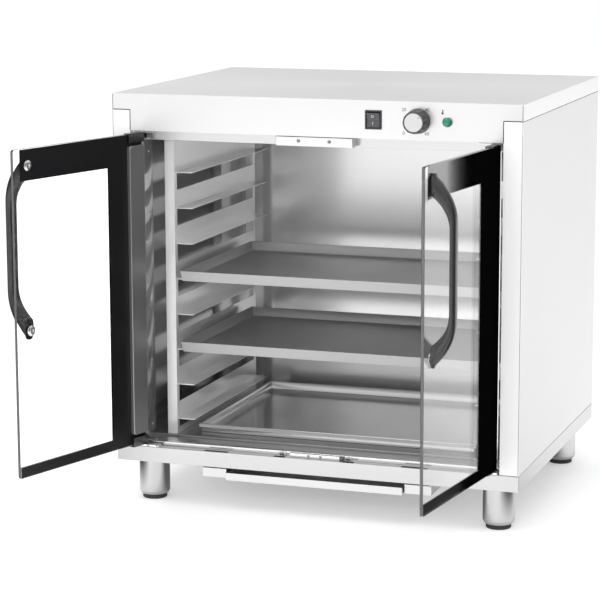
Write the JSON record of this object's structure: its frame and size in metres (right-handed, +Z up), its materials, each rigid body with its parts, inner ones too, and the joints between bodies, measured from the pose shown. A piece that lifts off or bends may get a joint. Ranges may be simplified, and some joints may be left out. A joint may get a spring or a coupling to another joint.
{
  "type": "proofing cabinet",
  "caption": "Stainless proofing cabinet on round legs, with two hinged glass doors, runner racks, trays, a water pan and a drip tray.",
  "frame": {"origin": "middle of the footprint of the cabinet with its doors open, on the floor", "axes": "+Z up, -Y towards the front where the doors open, +X to the cabinet's right seen from the front"},
  "size_m": [0.8884, 0.9994, 0.799],
  "materials": {
    "satin_steel": "satin brushed",
    "bright_steel": "bright, near mirror",
    "tray_steel": "bright rolled",
    "dark_metal": "satin dark grey",
    "door_glass": "clear toughened, black printed border",
    "black_plastic": "satin moulded",
    "pale_plastic": "satin moulded",
    "green_lens": "gloss translucent",
    "rubber_black": "matt",
    "heater_foil": "dull"
  },
  "bodies": {
    "cabinet": {"back_cavity_wall": "bright_steel", "back_panel": "satin_steel", "base_frame": "satin_steel", "bottom_door_catch": "satin_steel", "bottom_panel": "satin_steel", "cable_gland": "black_plastic", "cavity_ceiling": "bright_steel", "cavity_floor": "bright_steel", "door_head_rail": "satin_steel", "door_sill_lip": "bright_steel", "drip_tray_holder": "satin_steel", "front_left_leg": "satin_steel", "front_right_leg": "satin_steel", "heater_plate": "heater_foil", "left_cavity_wall": "bright_steel", "left_lower_pivot_bracket": "bright_steel", "left_rack": "satin_steel", "left_rack_stud": "bright_steel", "left_side_panel": "satin_steel", "left_upper_pivot_bracket": "bright_steel", "pilot_lamp_bezel": "bright_steel", "pilot_lamp_lens": "green_lens", "rear_left_leg": "satin_steel", "rear_right_leg": "satin_steel", "right_cavity_wall": "bright_steel", "right_lower_pivot_bracket": "bright_steel", "right_rack": "satin_steel", "right_rack_stud": "bright_steel", "right_side_panel": "satin_steel", "right_upper_pivot_bracket": "bright_steel", "switch_housing": "black_plastic", "thermostat_body": "dark_metal", "top_cover": "satin_steel", "top_door_catch": "satin_steel"},
    "left_door": {"left_door_glass": "door_glass", "left_door_stiffener": "dark_metal", "left_upper_clamp": "dark_metal", "left_lower_clamp": "dark_metal", "left_handle": "black_plastic", "left_handle_upper_screw": "bright_steel", "left_handle_lower_screw": "bright_steel"},
    "right_door": {"right_door_glass": "door_glass", "right_door_stiffener": "dark_metal", "right_upper_clamp": "dark_metal", "right_lower_clamp": "dark_metal", "right_handle": "black_plastic", "right_handle_upper_screw": "bright_steel", "right_handle_lower_screw": "bright_steel"},
    "upper_tray": {"upper_tray": "tray_steel"},
    "lower_tray": {"lower_tray": "tray_steel"},
    "water_pan": {"water_pan": "bright_steel"},
    "drip_tray": {"drip_tray": "satin_steel"},
    "thermostat_dial": {"thermostat_dial": "black_plastic", "dial_face_disc": "pale_plastic"},
    "switch_rocker": {"switch_rocker": "black_plastic"},
    "front_left_foot": {"front_left_foot": "rubber_black"},
    "front_right_foot": {"front_right_foot": "rubber_black"},
    "rear_left_foot": {"rear_left_foot": "rubber_black"},
    "rear_right_foot": {"rear_right_foot": "rubber_black"}
  },
  "joints": [
    {"name": "left_door_hinge", "type": "hinge", "parent": "cabinet", "child": "left_door", "pos_m": [-0.30678, -0.1546, 0.42], "axis": [0, 0, -1], "range_deg": [-107, 8]},
    {"name": "right_door_hinge", "type": "hinge", "parent": "cabinet", "child": "right_door", "pos_m": [0.39521, -0.1546, 0.42], "axis": [0, 0, 1], "range_deg": [-83.5, 31.5]},
    {"name": "upper_tray_slide", "type": "slide", "parent": "cabinet", "child": "upper_tray", "axis": [0, -1, 0], "range_m": [0, 0.3]},
    {"name": "lower_tray_slide", "type": "slide", "parent": "cabinet", "child": "lower_tray", "axis": [0, -1, 0], "range_m": [0, 0.3]},
    {"name": "water_pan_slide", "type": "slide", "parent": "cabinet", "child": "water_pan", "axis": [0, -1, 0], "range_m": [0, 0.1]},
    {"name": "drip_tray_slide", "type": "slide", "parent": "cabinet", "child": "drip_tray", "axis": [0, -1, 0], "range_m": [0, 0.09]},
    {"name": "thermostat_dial_turn", "type": "hinge", "parent": "cabinet", "child": "thermostat_dial", "pos_m": [0.24771, -0.1756, 0.764], "axis": [0, 1, 0], "range_deg": [-180, 90]},
    {"name": "switch_rocker_tilt", "type": "hinge", "parent": "cabinet", "child": "switch_rocker", "pos_m": [0.16321, -0.1586, 0.764], "axis": [1, 0, 0], "range_deg": [-14, 0]},
    {"name": "front_left_foot_turn", "type": "hinge", "parent": "cabinet", "child": "front_left_foot", "pos_m": [-0.30379, -0.1006, 0.02], "axis": [0, 0, 1], "continuous": true},
    {"name": "front_right_foot_turn", "type": "hinge", "parent": "cabinet", "child": "front_right_foot", "pos_m": [0.39221, -0.1006, 0.02], "axis": [0, 0, 1], "continuous": true},
    {"name": "rear_left_foot_turn", "type": "hinge", "parent": "cabinet", "child": "rear_left_foot", "pos_m": [-0.30379, 0.4214, 0.02], "axis": [0, 0, 1], "continuous": true},
    {"name": "rear_right_foot_turn", "type": "hinge", "parent": "cabinet", "child": "rear_right_foot", "pos_m": [0.39221, 0.4214, 0.02], "axis": [0, 0, 1], "continuous": true}
  ]
}
